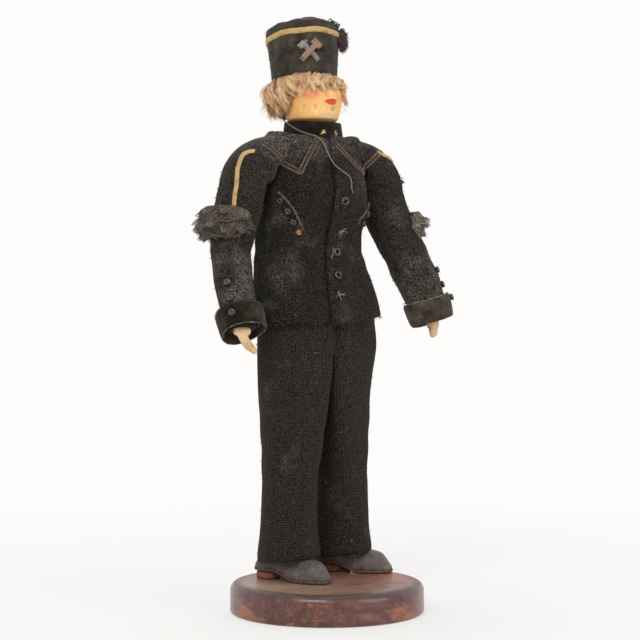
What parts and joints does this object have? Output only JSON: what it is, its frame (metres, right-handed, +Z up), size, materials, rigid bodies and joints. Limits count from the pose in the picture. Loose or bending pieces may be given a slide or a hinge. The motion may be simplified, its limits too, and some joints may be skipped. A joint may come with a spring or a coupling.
{
  "type": "toy miner figure",
  "caption": "Standing dressed toy miner on a round turned wooden base, with a turning head, swinging arms, cloth jacket and trousers, fur rolls and a flared hat.",
  "frame": {"origin": "centre of the base's underside", "axes": "+Z up along the standing figure; the chest faces -Y, so the figure's right hand is on the -X side"},
  "size_m": [0.1124, 0.0807, 0.2468],
  "materials": {
    "varnished_wood": "worn varnish",
    "raw_wood": "bare",
    "paper_pulp": "matte",
    "shoe_paint": "worn paint",
    "sole_board": "matte",
    "black_wool": "felted weave",
    "black_velvet": "pile",
    "fur": "hair",
    "yellow_braid": "ribbon",
    "brown_braid": "stitched cord",
    "black_glass": "gloss",
    "flesh_paint": "cracked paint",
    "mohair": "hair",
    "tin_foil": "satin",
    "copper_foil": "satin",
    "steel_wire": "drawn",
    "grey_thread": "matte"
  },
  "bodies": {
    "standing_figure": {"base_disc": "varnished_wood", "right_leg": "paper_pulp", "left_leg": "paper_pulp", "right_shoe_upper": "shoe_paint", "left_shoe_upper": "shoe_paint", "right_shoe_sole": "sole_board", "left_shoe_sole": "sole_board", "right_shoe_heel": "raw_wood", "left_shoe_heel": "raw_wood", "right_trouser_leg": "black_wool", "left_trouser_leg": "black_wool", "body_core": "paper_pulp", "shoulder_wire": "steel_wire", "jacket_back": "black_wool", "jacket_right_front": "black_wool", "jacket_left_front": "black_wool", "collar": "black_velvet", "right_yoke_braid": "brown_braid", "left_yoke_braid": "brown_braid", "right_chest_braid": "brown_braid", "left_chest_braid": "brown_braid", "right_chest_bead_1": "black_glass", "right_chest_bead_2": "black_glass", "right_chest_bead_3": "black_glass", "right_chest_bead_4": "black_glass", "left_chest_bead_1": "black_glass", "left_chest_bead_2": "black_glass", "left_chest_bead_3": "black_glass", "front_button_1": "black_glass", "front_button_2": "black_glass", "front_button_3": "black_glass", "loose_thread": "grey_thread"},
    "head_and_hat": {"neck_peg": "raw_wood", "head": "flesh_paint", "wig": "mohair", "hat_crown": "black_velvet", "hat_top": "black_velvet", "hat_band": "yellow_braid", "badge_hammer": "tin_foil", "badge_mallet": "copper_foil", "hat_tuft": "fur"},
    "right_arm_and_sleeve": {"right_sleeve": "black_wool", "right_arm": "paper_pulp", "right_cuff": "black_velvet", "right_hand": "flesh_paint", "right_fur_roll": "fur", "right_shoulder_stripe": "yellow_braid", "right_cuff_bead_1": "black_glass", "right_cuff_bead_2": "black_glass", "right_cuff_bead_3": "black_glass"},
    "left_arm_and_sleeve": {"left_sleeve": "black_wool", "left_arm": "paper_pulp", "left_cuff": "black_velvet", "left_hand": "flesh_paint", "left_fur_roll": "fur", "left_shoulder_stripe": "yellow_braid", "left_cuff_bead_1": "black_glass", "left_cuff_bead_2": "black_glass", "left_cuff_bead_3": "black_glass"}
  },
  "joints": [
    {"name": "neck_swivel", "type": "hinge", "parent": "standing_figure", "child": "head_and_hat", "pos_m": [0.0044, 0.018, 0.2035], "axis": [0, 0, 1], "range_deg": [-35, 35]},
    {"name": "right_shoulder", "type": "hinge", "parent": "standing_figure", "child": "right_arm_and_sleeve", "pos_m": [0.0044, 0.018, 0.1845], "axis": [-1, 0, 0], "range_deg": [-20, 60]},
    {"name": "left_shoulder", "type": "hinge", "parent": "standing_figure", "child": "left_arm_and_sleeve", "pos_m": [0.0044, 0.018, 0.1845], "axis": [-1, 0, 0], "range_deg": [-30, 50]}
  ]
}
